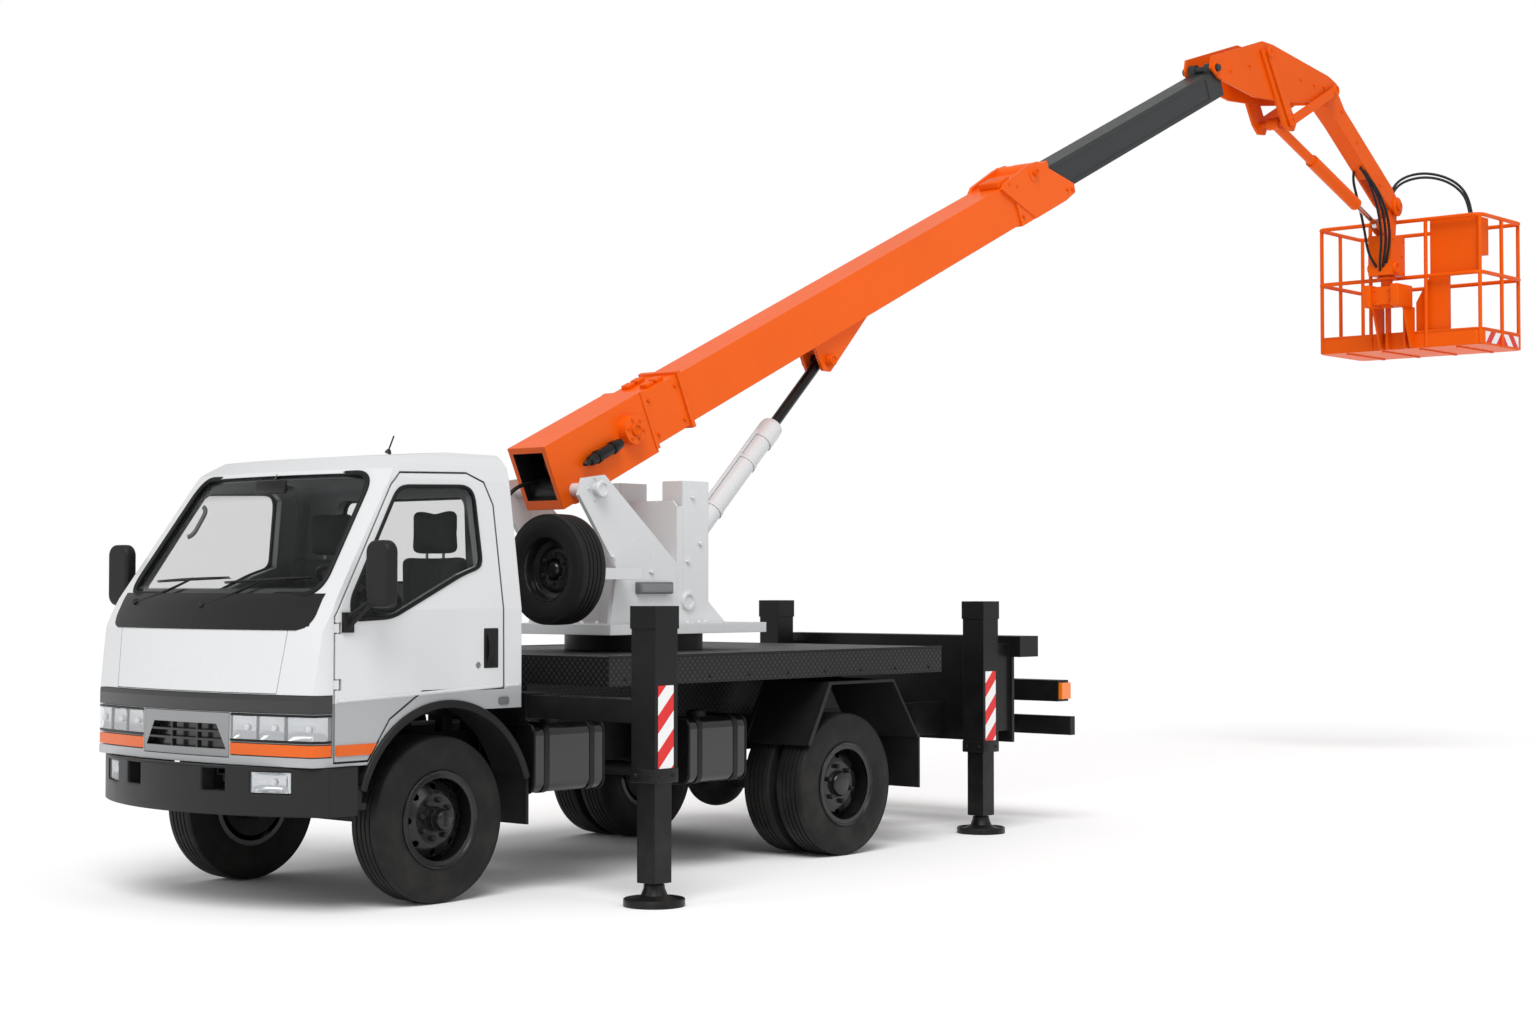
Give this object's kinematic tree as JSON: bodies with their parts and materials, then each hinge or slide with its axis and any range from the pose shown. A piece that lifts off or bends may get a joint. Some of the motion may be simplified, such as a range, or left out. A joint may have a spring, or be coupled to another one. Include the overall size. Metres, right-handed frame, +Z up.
{
  "type": "cherry picker truck",
  "caption": "Forward-control lorry with stabiliser legs, a slewing turret, a telescopic boom, a levelled jib and a railed work basket.",
  "frame": {"origin": "on the ground under the middle of the machine box, on its centre line", "axes": "+X forward, +Y left, +Z up"},
  "size_m": [13.162, 3.445, 5.64],
  "materials": {
    "white_paint": "gloss",
    "orange_paint": "gloss",
    "grey_boom": "satin",
    "black_steel": "satin",
    "black_plastic": "matte",
    "tyre": "matte",
    "rim_paint": "satin",
    "glass": "clear",
    "lamp": "clear",
    "red_lamp": "clear",
    "cast": "rough",
    "cloth": "woven",
    "trim_grey": "matte",
    "rod_chrome": "polished",
    "frame_grey": "satin"
  },
  "bodies": {
    "chassis": {"chassis_frame": "frame_grey", "engine_block": "cast", "front_axle": "cast", "rear_axle": "cast", "cab_shell": "white_paint", "front_panel": "white_paint", "wiper_cowl": "black_plastic", "cab_glass": "glass", "dashboard": "trim_grey", "seats": "cloth", "bumper": "black_plastic", "front_lamps": "lamp", "grille": "black_plastic", "front_mudguards": "black_plastic", "side_tanks": "black_steel", "deck": "black_steel", "rear_mudguards": "black_steel", "outrigger_sleeve": "black_steel", "rear_outrigger_frame": "black_steel", "tail_bar": "black_steel", "tail_lamps": "red_lamp", "slew_ring": "black_steel"},
    "left_door": {"door_left": "white_paint", "door_glass_left": "glass", "mirror_left": "black_plastic"},
    "knuckle_left": {"steering_knuckle_left": "black_steel"},
    "front_wheel_left": {"front_tyre_left": "tyre", "front_rim_left": "rim_paint"},
    "rear_wheels_left": {"rear_tyres_left": "tyre", "rear_rims_left": "rim_paint"},
    "front_beam_left": {"outrigger_beam_left": "black_steel"},
    "front_leg_left": {"front_jack_left": "black_steel"},
    "rear_leg_left": {"rear_jack_left": "black_steel"},
    "right_door": {"door_right": "white_paint", "door_glass_right": "glass", "mirror_right": "black_plastic"},
    "knuckle_right": {"steering_knuckle_right": "black_steel"},
    "front_wheel_right": {"front_tyre_right": "tyre", "front_rim_right": "rim_paint"},
    "rear_wheels_right": {"rear_tyres_right": "tyre", "rear_rims_right": "rim_paint"},
    "front_beam_right": {"outrigger_beam_right": "black_steel"},
    "front_leg_right": {"front_jack_right": "black_steel"},
    "rear_leg_right": {"rear_jack_right": "black_steel"},
    "turret": {"turret": "white_paint", "spare_wheel": "tyre"},
    "boom": {"outer_boom": "orange_paint"},
    "boom_inner": {"inner_boom": "grey_boom"},
    "lift_cylinder_barrel": {"lift_barrel": "white_paint"},
    "lift_cylinder_rod": {"lift_rod": "rod_chrome"},
    "head": {"jib_head": "orange_paint"},
    "jib": {"jib_arm": "orange_paint"},
    "level_cylinder_barrel": {"level_barrel": "orange_paint"},
    "level_cylinder_rod": {"level_rod": "rod_chrome"},
    "mount": {"basket_mount": "orange_paint"},
    "work_basket": {"basket": "orange_paint", "control_console": "orange_paint"}
  },
  "joints": [
    {"name": "left_door_hinge", "type": "hinge", "parent": "chassis", "child": "left_door", "pos_m": [6.275, 0.822, 1.155], "axis": [0, 0, -1], "range_deg": [0, 70]},
    {"name": "left_steering", "type": "hinge", "parent": "chassis", "child": "knuckle_left", "pos_m": [5.636, 0.545, 0.3875], "axis": [0, 0, 1], "range_deg": [-33, 33]},
    {"name": "front_wheel_left_spin", "type": "hinge", "parent": "knuckle_left", "child": "front_wheel_left", "pos_m": [5.636, 0.7, 0.3875], "axis": [0, 1, 0], "continuous": true},
    {"name": "rear_wheels_left_spin", "type": "hinge", "parent": "chassis", "child": "rear_wheels_left", "pos_m": [2.856, 0.75, 0.3875], "axis": [0, 1, 0], "continuous": true},
    {"name": "front_beam_left_slide", "type": "slide", "parent": "chassis", "child": "front_beam_left", "axis": [0, -1, 0], "range_m": [0, 0.49]},
    {"name": "front_leg_left_slide", "type": "slide", "parent": "front_beam_left", "child": "front_leg_left", "axis": [0, 0, 1], "range_m": [0, 0.35]},
    {"name": "rear_leg_left_slide", "type": "slide", "parent": "chassis", "child": "rear_leg_left", "axis": [0, 0, 1], "range_m": [0, 0.35]},
    {"name": "right_door_hinge", "type": "hinge", "parent": "chassis", "child": "right_door", "pos_m": [6.275, -0.822, 1.155], "axis": [0, 0, 1], "range_deg": [0, 70]},
    {"name": "right_steering", "type": "hinge", "parent": "chassis", "child": "knuckle_right", "pos_m": [5.636, -0.545, 0.3875], "axis": [0, 0, 1], "range_deg": [-33, 33]},
    {"name": "front_wheel_right_spin", "type": "hinge", "parent": "knuckle_right", "child": "front_wheel_right", "pos_m": [5.636, -0.7, 0.3875], "axis": [0, 1, 0], "continuous": true},
    {"name": "rear_wheels_right_spin", "type": "hinge", "parent": "chassis", "child": "rear_wheels_right", "pos_m": [2.856, -0.75, 0.3875], "axis": [0, 1, 0], "continuous": true},
    {"name": "front_beam_right_slide", "type": "slide", "parent": "chassis", "child": "front_beam_right", "axis": [0, 1, 0], "range_m": [0, 0.49]},
    {"name": "front_leg_right_slide", "type": "slide", "parent": "front_beam_right", "child": "front_leg_right", "axis": [0, 0, 1], "range_m": [0, 0.35]},
    {"name": "rear_leg_right_slide", "type": "slide", "parent": "chassis", "child": "rear_leg_right", "axis": [0, 0, 1], "range_m": [0, 0.35]},
    {"name": "turret_slew", "type": "hinge", "parent": "chassis", "child": "turret", "pos_m": [3.536, 0, 1.21], "axis": [0, 0, 1], "continuous": true},
    {"name": "boom_lift", "type": "hinge", "parent": "turret", "child": "boom", "pos_m": [4.136, 0, 1.975], "axis": [0, 1, 0], "range_deg": [-20, 42]},
    {"name": "telescope", "type": "slide", "parent": "boom", "child": "boom_inner", "axis": [-0.9089, 0, 0.4171], "range_m": [-2, 1.2]},
    {"name": "head_level", "type": "hinge", "parent": "boom_inner", "child": "head", "pos_m": [-2.56018, 0, 5.31739], "axis": [0, 1, 0], "range_deg": [-43, 21]},
    {"name": "jib_lift", "type": "hinge", "parent": "head", "child": "jib", "pos_m": [-4.384, 0, 5.43], "axis": [0, -1, 0], "range_deg": [-40, 35]},
    {"name": "mount_level", "type": "hinge", "parent": "jib", "child": "mount", "pos_m": [-5.614, 0, 4.65], "axis": [0, -1, 0], "range_deg": [-36, 41]},
    {"name": "basket_turn", "type": "hinge", "parent": "mount", "child": "work_basket", "pos_m": [-5.554, 0, 3.8], "axis": [0, 0, 1], "range_deg": [-90, 90]},
    {"name": "lift_barrel_swing", "type": "hinge", "parent": "turret", "child": "lift_cylinder_barrel", "pos_m": [3.436, 0, 1.385], "axis": [0, 1, 0], "range_deg": [-21.1, 42.11]},
    {"name": "lift_rod_slide", "type": "slide", "parent": "lift_cylinder_barrel", "child": "lift_cylinder_rod", "axis": [-0.7236, 0, 0.6902], "range_m": [-0.362, 0.738]},
    {"name": "level_barrel_swing", "type": "hinge", "parent": "head", "child": "level_cylinder_barrel", "pos_m": [-3.654, 0, 5.075], "axis": [0, -1, 0], "range_deg": [-33.34, 29.42]},
    {"name": "level_rod_slide", "type": "slide", "parent": "level_cylinder_barrel", "child": "level_cylinder_rod", "axis": [-0.9445, 0, -0.3286], "range_m": [-0.206, 0.233]}
  ],
  "couplings": [
    {"joint": "right_steering", "follows": "left_steering", "ratio": 1},
    {"joint": "head_level", "follows": "boom_lift", "ratio": -1},
    {"joint": "mount_level", "follows": "jib_lift", "ratio": -1},
    {"joint": "lift_barrel_swing", "follows": "boom_lift", "ratio": 0.955},
    {"joint": "lift_rod_slide", "follows": "boom_lift", "m_per_rad": 0.98},
    {"joint": "level_barrel_swing", "follows": "jib_lift", "ratio": 0.78349},
    {"joint": "level_rod_slide", "follows": "jib_lift", "m_per_rad": -0.30524}
  ]
}
